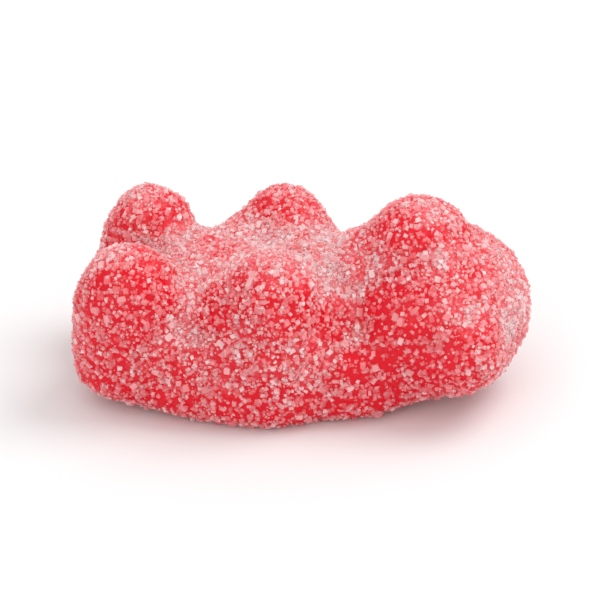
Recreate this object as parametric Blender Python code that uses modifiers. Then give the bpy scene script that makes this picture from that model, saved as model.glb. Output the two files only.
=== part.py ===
# Gummy bear: one soft sweet cast face down in a starch mould, rolled in coarse sugar, lying on its flat back.
# Metres. X runs from the feet to the head, Y across the bear, Z from its back up to its face.

import bpy
from mathutils import Matrix, Vector, noise

MM = 0.001

# Overall size of the sweet
LENGTH = 25.0 * MM
WIDTH = 13.6 * MM
HEIGHT = 11.4 * MM

# Slab: the outline that the mould gives the back, as upright elliptical discs
# Each row: centre along X, centre across Y, radius along X, radius across Y, underside, top
TORSO_SLAB = (-3.2, 0.0, 8.6, 6.6, 0.0, 4.4)
SHOULDER_SLAB = (-1.5, 2.9, 3.9, 3.8, 0.0, 4.8)
HIP_SLAB = (-5.9, 2.8, 3.4, 3.6, 0.0, 4.4)
FOOT_SLAB = (-9.6, 2.7, 3.1, 2.9, 0.0, 4.6)
NECK_SLAB = (3.3, 0.0, 4.0, 5.5, 0.0, 4.4)
HEAD_SLAB = (7.3, 0.0, 4.6, 4.3, 0.9, 4.8)

# Lobes: rounded forms that stand up from the slab
# Each row: centre X, centre Y, centre Z, radius X, radius Y, radius Z
BELLY = (-3.4, 0.0, 3.7, 7.6, 5.6, 4.1)
CHEST = (0.4, 0.0, 4.0, 4.2, 5.2, 4.2)
LEFT_LEG = (-9.4, -3.45, 5.2, 3.25, 2.8, 4.0)
RIGHT_LEG = (-9.1, 3.45, 5.2, 2.85, 2.7, 4.1)
ARM = (-1.4, 3.75, 5.7, 2.9, 2.7, 3.8)
ELBOW = (-3.3, 3.4, 4.7, 2.7, 2.7, 3.1)
HEAD = (7.4, 0.0, 4.8, 5.5, 5.2, 4.3)
CHIN = (3.4, 0.0, 7.0, 1.6, 2.6, 1.9)
SNOUT = (6.6, 0.0, 7.95, 3.0, 2.8, 3.05)
EAR = (9.4, 3.85, 4.1, 2.5, 2.1, 2.5)
BROW = (8.9, 1.8, 7.2, 1.0, 1.0, 0.9)

# Facets round each disc and lobe before they melt together
ROUND_STEPS = 48

# Casting: the lobes melt into each other, and the back domes up towards both ends
CAST_GRID = 0.3 * MM
CAST_SOFTENING = 18
SKIN_GRID = 0.54 * MM
SKIN_SOFTENING = 2
SOFTENING_PULL = 0.5
HEAD_LIFT = 2.2 * MM
FEET_LIFT = 1.3 * MM
LIFT_DEPTH = 3.5 * MM
REST_INSET = 0.4 * MM

# Sugar: bumps of the coat, of the size of its coarsest clumps
GRAIN_PITCH = 0.8 * MM
GRAIN_HEIGHT = 0.2 * MM
GRAIN_OFFSET = Vector((13.7, 4.1, 8.9))
GRAIN_FADE = 0.8 * MM

# Finish
GUMMY_RED = (0.72, 0.035, 0.06, 1.0)
GUMMY_ROUGHNESS = 0.55


def clear_scene():
    for obj in list(bpy.data.objects):
        bpy.data.objects.remove(obj, do_unlink=True)


def make_collection(name):
    collection = bpy.data.collections.new(name)
    bpy.context.scene.collection.children.link(collection)
    return collection


def make_material(name, colour, roughness):
    material = bpy.data.materials.new(name)
    material.use_nodes = True
    shader = material.node_tree.nodes["Principled BSDF"]
    shader.inputs["Base Color"].default_value = colour
    shader.inputs["Roughness"].default_value = roughness
    shader.inputs["Metallic"].default_value = 0.0
    material.diffuse_color = colour
    return material


def apply_placing(obj):
    bpy.ops.object.select_all(action="DESELECT")
    obj.select_set(True)
    bpy.context.view_layer.objects.active = obj
    bpy.ops.object.transform_apply(location=True, rotation=True, scale=True)
    return obj


def add_slab(row, side):
    """An upright elliptical disc between two heights above the back's plane."""
    x, y, radius_x, radius_y, underside, top = (value * MM for value in row)
    bpy.ops.mesh.primitive_cylinder_add(vertices=ROUND_STEPS, radius=1.0, depth=1.0)
    obj = bpy.context.object
    obj.scale = (radius_x, radius_y, top - underside)
    obj.location = (x, side * y, (top + underside) / 2)
    return apply_placing(obj)


def add_lobe(row, side):
    """An ellipsoid."""
    x, y, z, radius_x, radius_y, radius_z = (value * MM for value in row)
    bpy.ops.mesh.primitive_uv_sphere_add(segments=ROUND_STEPS, ring_count=ROUND_STEPS // 2, radius=1.0)
    obj = bpy.context.object
    obj.scale = (radius_x, radius_y, radius_z)
    obj.location = (x, side * y, z)
    return apply_placing(obj)


def add_forms():
    forms = []
    for row in (TORSO_SLAB, NECK_SLAB, HEAD_SLAB):
        forms.append(add_slab(row, 1))
    for row in (BELLY, CHEST, LEFT_LEG, RIGHT_LEG, HEAD, CHIN, SNOUT):
        forms.append(add_lobe(row, 1))
    for side in (-1, 1):
        for row in (SHOULDER_SLAB, HIP_SLAB, FOOT_SLAB):
            forms.append(add_slab(row, side))
        for row in (ARM, ELBOW, EAR, BROW):
            forms.append(add_lobe(row, side))
    return forms


def take_skin(obj, grid, softening):
    """Takes one even skin round all that the object holds and softens it."""
    skin = obj.modifiers.new("Skin", "REMESH")
    skin.mode = "VOXEL"
    skin.voxel_size = grid
    bpy.ops.object.modifier_apply(modifier=skin.name)

    soften = obj.modifiers.new("Soften", "SMOOTH")
    soften.factor = SOFTENING_PULL
    soften.iterations = softening
    bpy.ops.object.modifier_apply(modifier=soften.name)


def melt_together(forms):
    """Joins the forms and melts them into each other, as in a casting."""
    bpy.ops.object.select_all(action="DESELECT")
    for obj in forms:
        obj.select_set(True)
    bpy.context.view_layer.objects.active = forms[0]
    bpy.ops.object.join()
    obj = bpy.context.object
    take_skin(obj, CAST_GRID, CAST_SOFTENING)
    take_skin(obj, SKIN_GRID, SKIN_SOFTENING)
    return obj


def fit_to_size(obj):
    """Scales the sweet to its overall size and stands it on the plane of its back."""
    corners = [[v.co[axis] for v in obj.data.vertices] for axis in range(3)]
    low = Vector(min(values) for values in corners)
    high = Vector(max(values) for values in corners)
    foot = Vector(((low.x + high.x) / 2, (low.y + high.y) / 2, low.z))
    scale = Matrix.Diagonal((LENGTH / (high.x - low.x), WIDTH / (high.y - low.y), HEIGHT / (high.z - low.z)))
    for v in obj.data.vertices:
        v.co = scale @ (v.co - foot)


def dome_back(obj):
    """Lifts the back towards the feet and the head, and leaves a flat middle to rest on."""
    for v in obj.data.vertices:
        reach = v.co.x / (LENGTH / 2)
        lift = HEAD_LIFT if reach > 0 else FEET_LIFT
        fade = max(0.0, 1.0 - v.co.z / LIFT_DEPTH)
        v.co.z += lift * reach ** 2 * fade ** 2 - REST_INSET
        v.co.z = max(v.co.z, 0.0)


def add_grain(obj):
    """Pushes the skin in and out by the sugar coat's bumps, which fade out towards the rest face."""
    mesh = obj.data
    moves = []
    for v in mesh.vertices:
        fade = min(1.0, v.co.z / GRAIN_FADE)
        height = GRAIN_HEIGHT * noise.noise(v.co / GRAIN_PITCH + GRAIN_OFFSET)
        moves.append(v.normal * height * fade)
    for v, move in zip(mesh.vertices, moves):
        v.co += move


clear_scene()
bear_parts = make_collection("gummy_bear")

bear = melt_together(add_forms())
bear.name = "gummy_bear"
bear.data.name = "gummy_bear"
fit_to_size(bear)
dome_back(bear)
add_grain(bear)
fit_to_size(bear)

bear.data.materials.clear()
bear.data.materials.append(make_material("red_gummy", GUMMY_RED, GUMMY_ROUGHNESS))
bear.data.shade_smooth()

for collection in list(bear.users_collection):
    collection.objects.unlink(bear)
bear_parts.objects.link(bear)
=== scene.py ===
import math

import bmesh
import bpy
import numpy as np
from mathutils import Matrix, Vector, noise


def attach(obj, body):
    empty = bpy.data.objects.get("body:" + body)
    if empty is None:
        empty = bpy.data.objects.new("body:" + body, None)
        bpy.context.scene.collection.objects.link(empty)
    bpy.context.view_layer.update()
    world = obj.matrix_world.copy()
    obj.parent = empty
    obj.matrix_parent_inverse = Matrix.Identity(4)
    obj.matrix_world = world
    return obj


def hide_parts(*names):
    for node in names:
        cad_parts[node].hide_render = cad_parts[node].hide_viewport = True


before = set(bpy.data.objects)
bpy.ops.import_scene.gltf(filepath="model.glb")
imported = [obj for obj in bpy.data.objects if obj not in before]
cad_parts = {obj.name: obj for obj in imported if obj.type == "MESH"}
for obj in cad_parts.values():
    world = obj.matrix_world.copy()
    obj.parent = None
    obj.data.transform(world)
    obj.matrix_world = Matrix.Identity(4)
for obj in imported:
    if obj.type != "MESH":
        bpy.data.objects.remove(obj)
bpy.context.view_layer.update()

# Gummy body: one casting of soft red gelatine sweet, poured face down into a starch mould, so that its arms,
# legs, head and ears are rounded lobes and its back is flat. Light goes a few millimetres into it before it
# comes out red. Fine sugar and starch cling to it as a pale bloom, thickest in the hollows between the lobes.
# The bloom and sugar are also laid thicker on upward faces as painted light from above.
MM = 0.001
MERGE_GAP = 0.0005 * MM
BODY_GRID = 0.17 * MM
BODY_SOFTENING = 26
SOFTENING_PULL = 0.5

# The low sides are evened, and swollen by as much as that shrinks them
SMOOTH_BELOW = 4.5 * MM
SMOOTH_FADE = 2.5 * MM
SMOOTH_REACH = 120
SMOOTH_SWELL = 0.2 * MM
REST_GAP = 0.08 * MM

# Low soft bumps of the casting
NOISE_SPAN = 1.6
RELIEF_PITCH = 1.3 * MM
RELIEF_HEIGHT = 0.05 * MM
RELIEF_OFFSET = (3.1, 7.7, 1.9)

# Coat: how much sugar sticks to each place, more in hollows and on top, less along the base. The extra on
# upward faces and in upward hollows is painted light from above; the coat sets the bloom, the crystals' count
# and their whiteness.
HOLLOW_REACH = 90
HOLLOW_DEPTH = 0.11 * MM
HOLLOW_ON_SIDES = 0.2
TOP_SUGAR_AND_PAINTED_LIGHT = 0.55
# Less coat, so less sugar and bloom, towards the base
BASE_THINNING = 0.4
BASE_REACH = 2.2 * MM

# Each row: centre X, Y, Z, reach, and how much more (or less) sugar sticks there. The rows are partly
# patches of sugar and partly painted light and shade: more on the upper rims of the head and the tops of the
# lobes is painted light from above, and less on the low near side of the head is painted shade.
SUGAR_LIGHT_AND_SHADE_SPOTS = (
    (1.3, -2.5, 7.9, 1.7, 1.3),
    (2.0, 0.6, 8.0, 1.8, 0.9),
    (-2.1, 0.2, 8.1, 1.6, 0.4),
    (-1.2, -3.8, 9.7, 1.7, 1.5),
    (-1.6, -5.6, 8.4, 1.2, 0.2),
    (-10.4, -3.6, 9.0, 1.3, 0.9),
    (-9.0, -3.2, 9.2, 1.3, 0.7),
    (-9.4, 3.2, 9.4, 1.3, 1.3),
    (-8.4, 1.6, 8.2, 1.2, 0.15),
    (-1.0, 3.4, 9.6, 1.3, 0.6),
    (7.1, -0.4, 11.1, 1.5, 1.2),
    (7.7, -2.3, 9.4, 0.9, 0.6),
    (11.0, -0.3, 8.1, 1.5, 1.1),
    (12.0, -1.5, 6.7, 1.5, 1.3),
    (11.6, -2.8, 5.2, 1.4, 1.25),
    (9.1, -4.5, 6.6, 1.4, 0.72),
    (10.3, -5.4, 4.6, 1.2, 0.4),
    (-0.4, -6.6, 4.2, 1.8, 0.35),
    (-5.0, -4.9, 6.5, 1.5, -0.45),
    (2.0, -4.2, 5.9, 1.5, -0.8),
    (-9.7, -5.6, 7.4, 2.0, -0.2),
    (4.3, -4.0, 6.5, 2.2, -0.5),
    (5.6, -4.8, 4.8, 2.2, -0.85),
    (5.4, -4.6, 2.9, 1.8, -0.7),
    (9.4, -0.9, 9.0, 1.2, -0.6),
    (5.9, -2.5, 9.4, 1.1, 0.05),
    (8.4, -5.7, 3.6, 1.7, -0.75),
    (-10.8, -5.3, 2.6, 1.6, -0.35),
    (-5.3, -0.6, 8.1, 1.4, 0.35),
)


def select_only(piece):
    bpy.ops.object.select_all(action="DESELECT")
    piece.select_set(True)
    bpy.context.view_layer.objects.active = piece


def copy_of_node(node_name, piece_name):
    """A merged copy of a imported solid, as a new piece."""
    piece = bpy.data.objects.new(piece_name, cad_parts[node_name].data.copy())
    bpy.context.scene.collection.objects.link(piece)
    piece.data.name = piece_name
    piece.data.materials.clear()
    select_only(piece)
    bpy.ops.object.mode_set(mode="EDIT")
    bpy.ops.mesh.select_all(action="SELECT")
    bpy.ops.mesh.remove_doubles(threshold=MERGE_GAP)
    bpy.ops.mesh.normals_make_consistent(inside=False)
    bpy.ops.object.mode_set(mode="OBJECT")
    return piece


def apply_modifier(piece, kind, **values):
    modifier = piece.modifiers.new(kind.title(), kind)
    for name, value in values.items():
        setattr(modifier, name, value)
    select_only(piece)
    bpy.ops.object.modifier_apply(modifier=modifier.name)


def vertex_places(mesh):
    places = np.empty(len(mesh.vertices) * 3)
    mesh.vertices.foreach_get("co", places)
    return places.reshape(-1, 3)


def vertex_normals(mesh):
    normals = np.empty(len(mesh.vertices) * 3)
    mesh.vertex_normals.foreach_get("vector", normals)
    return normals.reshape(-1, 3)


def edge_ends(mesh):
    ends = np.empty(len(mesh.edges) * 2, int)
    mesh.edges.foreach_get("vertices", ends)
    return ends.reshape(-1, 2)


def neighbour_mean(values, ends, steps):
    """Averages each vertex's value with its neighbours', that many times."""
    count = len(values)
    counts = np.bincount(ends.ravel(), minlength=count)[:, None]
    for _ in range(steps):
        total = np.zeros_like(values)
        for axis in range(values.shape[1]):
            total[:, axis] += np.bincount(ends[:, 0], weights=values[ends[:, 1], axis], minlength=count)
            total[:, axis] += np.bincount(ends[:, 1], weights=values[ends[:, 0], axis], minlength=count)
        values = (values + total / counts) / 2
    return values


def noise_at(places, pitch, offset):
    """Smooth noise from about -1 to 1 with bumps of that pitch."""
    shift = Vector(offset)
    return np.array([noise.noise(Vector(place) / pitch + shift) for place in places]) * NOISE_SPAN


def add_attribute(mesh, name, domain, values):
    attribute = mesh.attributes.new(name, "FLOAT", domain)
    attribute.data.foreach_set("value", values.astype(np.float32))


body = copy_of_node("gummy_bear", "gummy_body")
apply_modifier(body, "REMESH", mode="VOXEL", voxel_size=BODY_GRID)
apply_modifier(body, "SMOOTH", factor=SOFTENING_PULL, iterations=BODY_SOFTENING)

body_edges = edge_ends(body.data)
body_places = vertex_places(body.data)
body_normals = vertex_normals(body.data)
low_share = np.clip((SMOOTH_BELOW - body_places[:, 2]) / SMOOTH_FADE, 0, 1)
evened = neighbour_mean(body_places, body_edges, SMOOTH_REACH) + body_normals * SMOOTH_SWELL
body_places += (evened - body_places) * low_share[:, None]
relief = noise_at(body_places, RELIEF_PITCH, RELIEF_OFFSET) * RELIEF_HEIGHT
relief *= np.clip(body_places[:, 2] / RELIEF_PITCH, 0, 1)
body_places += body_normals * relief[:, None]
body_places[:, 2] = np.maximum(body_places[:, 2], REST_GAP)
body.data.vertices.foreach_set("co", body_places.ravel())
body.data.update()

body_normals = vertex_normals(body.data)
sunk = ((neighbour_mean(body_places, body_edges, HOLLOW_REACH) - body_places) * body_normals).sum(1)
hollow = np.clip(sunk / HOLLOW_DEPTH, -1, 1)
facing_up = np.clip(body_normals[:, 2], 0, 1)
# Painted light: upward faces, and hollows that face up, get more coat than the sides
coat_and_painted_light = hollow * (HOLLOW_ON_SIDES + (1 - HOLLOW_ON_SIDES) * facing_up) + TOP_SUGAR_AND_PAINTED_LIGHT * facing_up
coat_and_painted_light -= BASE_THINNING * np.exp(-(body_places[:, 2] / BASE_REACH) ** 2)
# Listed spots of more and less sugar; some are painted light from above, and some are painted shade
for *centre, reach, change in SUGAR_LIGHT_AND_SHADE_SPOTS:
    distances = np.linalg.norm(body_places - np.array(centre) * MM, axis=1)
    coat_and_painted_light += change * np.exp(-(distances / (reach * MM)) ** 2)
add_attribute(body.data, "coat_and_painted_light", "POINT", coat_and_painted_light)
body.data.shade_smooth()

GUMMY_RED = (0.74, 0.002, 0.019, 1)
BLOOM_PINK = (0.93, 0.22, 0.25, 1)


def map_range(tree, source, low, high, from_low=0.0, from_high=1.0):
    """Carries a value from one range to another, and holds it at the ends."""
    node = tree.nodes.new("ShaderNodeMapRange")
    for name, value in (("From Min", from_low), ("From Max", from_high), ("To Min", low), ("To Max", high)):
        node.inputs[name].default_value = value
    tree.links.new(source, node.inputs["Value"])
    return node.outputs["Result"]


def reckon(tree, operation, first, second, hold=False):
    """Adds or multiplies two values, held between 0 and 1 where asked."""
    node = tree.nodes.new("ShaderNodeMath")
    node.operation = operation
    node.use_clamp = hold
    tree.links.new(first, node.inputs[0])
    tree.links.new(second, node.inputs[1])
    return node.outputs["Value"]


def attribute_value(tree, name):
    node = tree.nodes.new("ShaderNodeAttribute")
    node.attribute_name = name
    return node.outputs["Fac"]


def colour_mix(tree, share):
    node = tree.nodes.new("ShaderNodeMix")
    node.data_type = "RGBA"
    tree.links.new(share, node.inputs["Factor"])
    return node


def bloom_group():
    """Pale bloom of sugar dust: a patchy mask that grows with Amount, and small bumps of its grains."""
    tree = bpy.data.node_groups.new("sugar_bloom", "ShaderNodeTree")
    for name, kind, default in (
        ("Red", "NodeSocketColor", GUMMY_RED),
        ("Pale", "NodeSocketColor", BLOOM_PINK),
        ("Amount", "NodeSocketFloat", 0.4),
        ("Patch Scale", "NodeSocketFloat", 900.0),
        ("Grain Scale", "NodeSocketFloat", 6000.0),
    ):
        socket = tree.interface.new_socket(name, in_out="INPUT", socket_type=kind)
        socket.default_value = default
    for name, kind in (
        ("Color", "NodeSocketColor"),
        ("Mask", "NodeSocketFloat"),
        ("Height", "NodeSocketFloat"),
    ):
        tree.interface.new_socket(name, in_out="OUTPUT", socket_type=kind)
    inputs = tree.nodes.new("NodeGroupInput").outputs
    outputs = tree.nodes.new("NodeGroupOutput").inputs
    place = tree.nodes.new("ShaderNodeTexCoord").outputs["Object"]
    patches = tree.nodes.new("ShaderNodeTexNoise")
    patches.inputs["Detail"].default_value = 5.0
    patches.inputs["Roughness"].default_value = 0.6
    tree.links.new(place, patches.inputs["Vector"])
    tree.links.new(inputs["Patch Scale"], patches.inputs["Scale"])
    grains = tree.nodes.new("ShaderNodeTexVoronoi")
    tree.links.new(place, grains.inputs["Vector"])
    tree.links.new(inputs["Grain Scale"], grains.inputs["Scale"])

    patchy = reckon(tree, "ADD", patches.outputs["Fac"], inputs["Amount"])
    mask = map_range(tree, patchy, 0.0, 1.0, from_low=0.75, from_high=1.25)
    speckle = map_range(tree, grains.outputs["Distance"], 1.0, 0.35, from_low=0.15, from_high=0.75)
    share = reckon(tree, "MULTIPLY", mask, speckle)
    colour = colour_mix(tree, share)
    tree.links.new(inputs["Red"], colour.inputs["A"])
    tree.links.new(inputs["Pale"], colour.inputs["B"])
    tree.links.new(colour.outputs["Result"], outputs["Color"])
    tree.links.new(share, outputs["Mask"])
    tree.links.new(speckle, outputs["Height"])
    return tree


def new_material(name):
    material = bpy.data.materials.new(name)
    material.use_nodes = True
    return material, material.node_tree, material.node_tree.nodes["Principled BSDF"]


def gummy_material(bloom):
    """Red gummy that light sinks into, satin where bare and dull where the bloom lies."""
    material, tree, shader = new_material("red_gummy")
    shader.inputs["Subsurface Weight"].default_value = 0.75
    shader.inputs["Subsurface Radius"].default_value = (1.0, 0.12, 0.14)
    shader.inputs["Subsurface Scale"].default_value = 1.6 * MM
    shader.inputs["Subsurface Anisotropy"].default_value = 0.3
    shader.inputs["IOR"].default_value = 1.45
    shader.inputs["Specular IOR Level"].default_value = 0.3
    frost = tree.nodes.new("ShaderNodeGroup")
    frost.node_tree = bloom
    frost.inputs["Patch Scale"].default_value = 800.0
    frost.inputs["Grain Scale"].default_value = 5000.0
    # The bloom follows the coat, so its paleness carries the painted light from above and the painted shade
    amount = map_range(tree, attribute_value(tree, "coat_and_painted_light"), 0.05, 0.85, from_low=-0.5)
    satin = map_range(tree, frost.outputs["Mask"], 0.32, 0.75)
    bump = tree.nodes.new("ShaderNodeBump")
    bump.inputs["Strength"].default_value = 0.5
    bump.inputs["Distance"].default_value = 0.06 * MM
    tree.links.new(amount, frost.inputs["Amount"])
    tree.links.new(frost.outputs["Color"], shader.inputs["Base Color"])
    tree.links.new(satin, shader.inputs["Roughness"])
    tree.links.new(frost.outputs["Height"], bump.inputs["Height"])
    tree.links.new(bump.outputs["Normal"], shader.inputs["Normal"])
    return material


body.data.materials.append(gummy_material(bloom_group()))
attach(body, "root")
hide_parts("gummy_bear")

# Coarse sugar: the largest crystals of the sanding sugar that the warm, sticky sweet was rolled in. Each is a
# clear block with knocked-off corners, half sunk in the skin, spread thinly and fairly evenly all over.
SUGAR_SEED = 20261128
COARSE_COUNT = 900
COARSE_SIZE = 0.41 * MM
COARSE_SIZES = (0.75, 1.2)
COARSE_SPACING = 0.34 * MM
COARSE_TOP = 0.85
COARSE_CORNER_CUT = 0.16

# A crystal's length, breadth and height as shares of its size, least and most
LEAST_SHAPE = (0.8, 0.7, 0.55)
MOST_SHAPE = (1.25, 1.0, 0.9)

# Thick and thin patches, of two sizes
WIDE_PATCH = 1.4 * MM
WIDE_OFFSET = (5.3, 2.2, 9.4)
WIDE_SHARE = 0.5
SMALL_PATCH = 0.55 * MM
SMALL_OFFSET = (1.3, 8.2, 4.4)

# Dry crystals are white and wet ones red, and they are drier where the coat is thick, so they also carry the
# painted light and shade laid into the coat
DRYNESS = 0.72
DRYNESS_BY_COAT = 0.62
LEAST_DRYNESS = 0.45
MOST_DRYNESS = 1.35
TRIES_FOR_EACH = 4

draws = np.random.default_rng(SUGAR_SEED)
body.data.calc_loop_triangles()
skin_triangles = np.empty(len(body.data.loop_triangles) * 3, int)
body.data.loop_triangles.foreach_get("vertices", skin_triangles)
skin_triangles = skin_triangles.reshape(-1, 3)
skin_corners = body_places[skin_triangles]
skin_sides = skin_corners[:, 1:] - skin_corners[:, :1]
skin_areas = np.linalg.norm(np.cross(skin_sides[:, 0], skin_sides[:, 1]), axis=1) / 2
patchiness = noise_at(body_places, WIDE_PATCH, WIDE_OFFSET) * WIDE_SHARE
patchiness += noise_at(body_places, SMALL_PATCH, SMALL_OFFSET)


def points_on_skin(count, spacing, liking):
    """Random places on the skin at least a spacing apart, more of them where liking is high."""
    weights = skin_areas * np.clip(liking[skin_triangles].mean(1), 0, None)
    tries = count * TRIES_FOR_EACH
    chosen = draws.choice(len(weights), tries, p=weights / weights.sum())
    mix = draws.dirichlet((1, 1, 1), tries)
    places = (skin_corners[chosen] * mix[:, :, None]).sum(1)
    normals = (body_normals[skin_triangles[chosen]] * mix[:, :, None]).sum(1)
    normals /= np.linalg.norm(normals, axis=1)[:, None]
    coats = (coat_and_painted_light[skin_triangles[chosen]] * mix).sum(1)
    cells = np.floor(places / spacing).astype(int)
    taken = {}
    kept = []
    for index, cell in enumerate(map(tuple, cells)):
        near = (taken.get((cell[0] + i, cell[1] + j, cell[2] + k))
                for i in (-1, 0, 1) for j in (-1, 0, 1) for k in (-1, 0, 1))
        if any(np.abs(places[index] - places[other]).max() < spacing for other in near if other is not None):
            continue
        taken[cell] = index
        kept.append(index)
        if len(kept) == count:
            break
    dryness = np.clip(DRYNESS + DRYNESS_BY_COAT * coats[kept], LEAST_DRYNESS, MOST_DRYNESS)
    return places[kept], normals[kept], dryness


def turns_to(normals, tilt):
    """Rotation matrices that stand a crystal on the skin, spun at random and tipped by up to about tilt."""
    count = len(normals)
    up = normals + draws.normal(0, tilt, (count, 3))
    up /= np.linalg.norm(up, axis=1)[:, None]
    side = np.cross(up, draws.normal(0, 1, (count, 3)))
    side /= np.linalg.norm(side, axis=1)[:, None]
    return np.stack((side, np.cross(up, side), up), axis=2)


def model_crystal(top_share, corner_cut=0.0):
    """One sugar crystal a unit across: a block that narrows to its top, with its corners knocked off when a
    corner cut is given.
    """
    bpy.ops.object.select_all(action="DESELECT")
    bpy.ops.mesh.primitive_cube_add(size=1.0)
    crystal = bpy.context.object
    bpy.ops.object.mode_set(mode="EDIT")
    bpy.ops.mesh.select_all(action="DESELECT")
    shaping = bmesh.from_edit_mesh(crystal.data)
    for face in shaping.faces:
        if face.normal.z > 0.5:
            face.select_set(True)
    bmesh.update_edit_mesh(crystal.data)
    bpy.ops.transform.resize(value=(top_share, top_share, 1.0), center_override=(0, 0, 0))
    if corner_cut:
        bpy.ops.mesh.select_all(action="SELECT")
        bpy.ops.mesh.bevel(offset=corner_cut, segments=1, affect="VERTICES")
    bpy.ops.object.mode_set(mode="OBJECT")
    places = vertex_places(crystal.data)
    faces = [tuple(polygon.vertices) for polygon in crystal.data.polygons]
    bpy.data.objects.remove(crystal)
    return places, faces


def scatter(piece_name, crystal, spots, sizes, tilt, sink, uneven):
    """Joins copies of one crystal, each with its own size, turn and uneven corners, into one piece."""
    corners, faces = crystal
    places, normals, dryness = spots
    count = len(places)
    lengths = sizes[:, None] * draws.uniform(LEAST_SHAPE, MOST_SHAPE, (count, 3))
    blocks = corners[None] * (1 + draws.normal(0, uneven, (count, len(corners), 3)))
    blocks = blocks * lengths[:, None, :]
    turned = np.einsum("nij,nvj->nvi", turns_to(normals, tilt), blocks)
    raised = places + normals * (lengths[:, 2] * draws.uniform(*sink, count))[:, None]
    vertices = turned + raised[:, None, :]
    vertices[:, :, 2] -= np.minimum(vertices[:, :, 2].min(1), 0)[:, None]
    heights = (turned * normals[:, None, :]).sum(2) / sizes[:, None] + 0.5
    firsts = range(0, count * len(corners), len(corners))
    piece_faces = [[first + corner for corner in face] for first in firsts for face in faces]
    mesh = bpy.data.meshes.new(piece_name)
    mesh.from_pydata(vertices.reshape(-1, 3).tolist(), [], piece_faces)
    add_attribute(mesh, "clear", "POINT", np.repeat(draws.uniform(0, 1, count) * dryness, len(corners)))
    add_attribute(mesh, "height", "POINT", heights.ravel())
    add_attribute(mesh, "facet", "FACE", draws.uniform(0, 1, len(piece_faces)))
    piece = bpy.data.objects.new(piece_name, mesh)
    bpy.context.scene.collection.objects.link(piece)
    return piece


CRYSTAL_RED = (0.98, 0.13, 0.16, 1)
CRYSTAL_WHITE = (1.0, 0.725, 0.73, 1)


def crystal_material(name, gloss):
    """Clear sugar on red: a crystal's foot takes the gummy's red, its top scatters white, and some facets
    let more of the skin show through. Its shadow is weaker than a solid grain's."""
    material, tree, shader = new_material(name)
    shader.inputs["Roughness"].default_value = gloss
    shader.inputs["IOR"].default_value = 1.54
    shader.inputs["Subsurface Weight"].default_value = 0.5
    shader.inputs["Subsurface Radius"].default_value = (1.0, 0.5, 0.5)
    shader.inputs["Subsurface Scale"].default_value = 0.2 * MM
    facet = attribute_value(tree, "facet")
    lift = map_range(tree, attribute_value(tree, "height"), 0.0, 1.0, from_low=0.1, from_high=0.9)
    cloud = map_range(tree, attribute_value(tree, "clear"), 0.2, 1.35)
    glint = map_range(tree, facet, 0.45, 1.35)
    whiteness = reckon(tree, "MULTIPLY", lift, reckon(tree, "MULTIPLY", cloud, glint), hold=True)
    colour = colour_mix(tree, whiteness)
    colour.inputs["A"].default_value = CRYSTAL_RED
    colour.inputs["B"].default_value = CRYSTAL_WHITE
    tree.links.new(colour.outputs["Result"], shader.inputs["Base Color"])

    seen = map_range(tree, facet, 0.35, 0.75)
    light_path = tree.nodes.new("ShaderNodeLightPath")
    shade = map_range(tree, light_path.outputs["Is Shadow Ray"], 1.0, 0.35)
    tree.links.new(reckon(tree, "MULTIPLY", seen, shade), shader.inputs["Alpha"])
    return material


coarse_liking = np.exp(0.5 * coat_and_painted_light + 0.4 * patchiness)
coarse_spots = points_on_skin(COARSE_COUNT, COARSE_SPACING, coarse_liking)
coarse_sizes = COARSE_SIZE * draws.uniform(*COARSE_SIZES, len(coarse_spots[0]))
coarse_crystal = model_crystal(COARSE_TOP, COARSE_CORNER_CUT)
coarse = scatter("sugar_coarse", coarse_crystal, coarse_spots, coarse_sizes,
                 tilt=0.25, sink=(-0.25, 0.1), uneven=0.07)
coarse.data.materials.append(crystal_material("sugar_coarse", gloss=0.16))
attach(coarse, "root")

# Middling sugar: most of the coat. Blocks a quarter of a millimetre across, crowded in the hollows and on the
# upper sides, and thin on the fronts of the lobes, where the red shows between them. The crowding on the
# upper sides is partly painted light from above, and the thinning on the fronts partly painted shade.
MIDDLING_COUNT = 7500
MIDDLING_SIZE = 0.265 * MM
MIDDLING_SIZES = (0.7, 1.25)
MIDDLING_SPACING = 0.15 * MM
MIDDLING_TOP = 0.8

middling_liking = 0.25 + np.exp(1.0 * coat_and_painted_light + 0.7 * patchiness)
middling_spots = points_on_skin(MIDDLING_COUNT, MIDDLING_SPACING, middling_liking)
middling_sizes = MIDDLING_SIZE * draws.uniform(*MIDDLING_SIZES, len(middling_spots[0]))
middling = scatter("sugar_middling", model_crystal(MIDDLING_TOP), middling_spots, middling_sizes,
                   tilt=0.4, sink=(-0.25, 0.2), uneven=0.13)
middling.data.materials.append(crystal_material("sugar_middling", gloss=0.22))
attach(middling, "root")

# Fine sugar: chips and broken corners of the larger crystals, which stuck in the gaps between them. They are
# white where they lie thick in the hollows.
FINE_COUNT = 9000
FINE_SIZE = 0.18 * MM
FINE_SIZES = (0.6, 1.3)
FINE_SPACING = 0.09 * MM
FINE_TOP = 0.75

fine_liking = 0.35 + np.exp(1.3 * coat_and_painted_light + 0.9 * patchiness)
fine_spots = points_on_skin(FINE_COUNT, FINE_SPACING, fine_liking)
fine_sizes = FINE_SIZE * draws.uniform(*FINE_SIZES, len(fine_spots[0]))
fine = scatter("sugar_fine", model_crystal(FINE_TOP), fine_spots, fine_sizes,
               tilt=0.7, sink=(-0.1, 0.35), uneven=0.15)
fine.data.materials.append(crystal_material("sugar_fine", gloss=0.3))
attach(fine, "root")

# Sugar dust: the powder off the crystals, a tenth of a millimetre and less, which dulls the red wherever the
# coat is thick.
DUST_COUNT = 15000
DUST_SIZE = 0.1 * MM
DUST_SIZES = (0.6, 1.25)
DUST_SPACING = 0.05 * MM
DUST_TOP = 0.7

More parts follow.
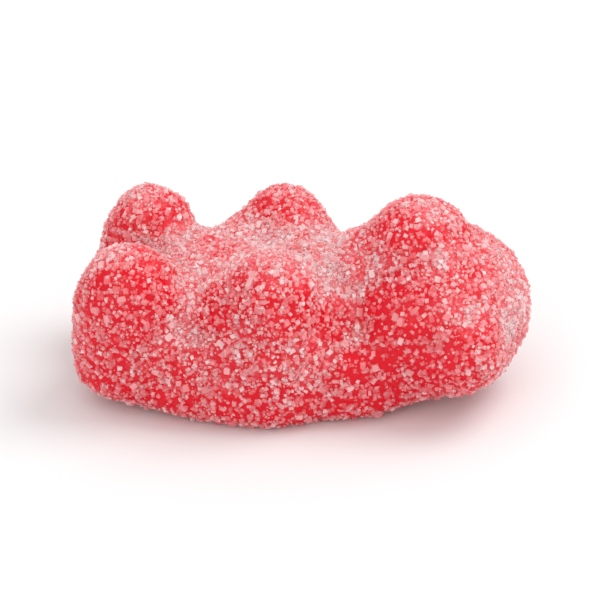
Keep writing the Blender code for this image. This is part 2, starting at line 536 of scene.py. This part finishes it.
dust_liking = 0.25 + np.exp(2.2 * coat_and_painted_light + 1.2 * patchiness)
dust_spots = points_on_skin(DUST_COUNT, DUST_SPACING, dust_liking)
dust_sizes = DUST_SIZE * draws.uniform(*DUST_SIZES, len(dust_spots[0]))
dust = scatter("sugar_dust", model_crystal(DUST_TOP), dust_spots, dust_sizes,
               tilt=1.0, sink=(0.1, 0.7), uneven=0.15)
dust.data.materials.append(crystal_material("sugar_dust", gloss=0.35))
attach(dust, "root")

# Table and light: a plain white table, a large soft light overhead, a weaker one in front and a bright room
# round it, as in a product picture on white.
TABLE_SIZE = 0.6
TABLE_WHITE = (0.86, 0.86, 0.86, 1)
TABLE_ROUGHNESS = 0.6
LIGHT_SIZE = 0.16
OVERHEAD_PLACE = (0.12, 0.05, 0.19)
OVERHEAD_POWER = 0.24
FRONT_PLACE = (-0.08, -0.22, 0.12)
FRONT_POWER = 0.13
ROOM_BRIGHTNESS = 0.84

bpy.ops.object.select_all(action="DESELECT")
bpy.ops.mesh.primitive_plane_add(size=TABLE_SIZE)
table = bpy.context.object
table.name = "table"
table_material, table_tree, table_shader = new_material("white_table")
table_shader.inputs["Base Color"].default_value = TABLE_WHITE
table_shader.inputs["Roughness"].default_value = TABLE_ROUGHNESS
table.data.materials.append(table_material)


def soft_light(name, place, power):
    """A round light of the studio's size, turned to the sweet."""
    light = bpy.data.objects.new(name, bpy.data.lights.new(name, "AREA"))
    light.data.shape = "DISK"
    light.data.size = LIGHT_SIZE
    light.data.energy = power
    light.location = place
    light.rotation_euler = (-Vector(place)).to_track_quat("-Z", "Y").to_euler()
    bpy.context.scene.collection.objects.link(light)


soft_light("overhead", OVERHEAD_PLACE, OVERHEAD_POWER)
soft_light("front", FRONT_PLACE, FRONT_POWER)

world = bpy.data.worlds.new("white_room")
bpy.context.scene.world = world
world.use_nodes = True
world.node_tree.nodes["Background"].inputs["Color"].default_value = (1, 1, 1, 1)
world.node_tree.nodes["Background"].inputs["Strength"].default_value = ROOM_BRIGHTNESS

# Camera: looks at the bear's left side from a little above, as in the photo, from far off through a long
# lens, so that the far lobes keep their size.
CAMERA_AZIMUTH = math.radians(5.5)
CAMERA_ELEVATION = math.radians(28.5)
CAMERA_DISTANCE = 0.4
CAMERA_LENS = 428
CAMERA_CLIP = 0.01
CAMERA_AIM = Vector((0.0, 0.0, 4.6 * MM))

away = Vector((
    math.sin(CAMERA_AZIMUTH) * math.cos(CAMERA_ELEVATION),
    -math.cos(CAMERA_AZIMUTH) * math.cos(CAMERA_ELEVATION),
    math.sin(CAMERA_ELEVATION),
))
camera = bpy.data.objects.new("camera", bpy.data.cameras.new("camera"))
camera.data.lens = CAMERA_LENS
camera.data.clip_start = CAMERA_CLIP
camera.location = CAMERA_AIM + away * CAMERA_DISTANCE
camera.rotation_euler = (-away).to_track_quat("-Z", "Y").to_euler()
bpy.context.scene.collection.objects.link(camera)
bpy.context.scene.camera = camera
bpy.context.scene.view_settings.view_transform = "Standard"
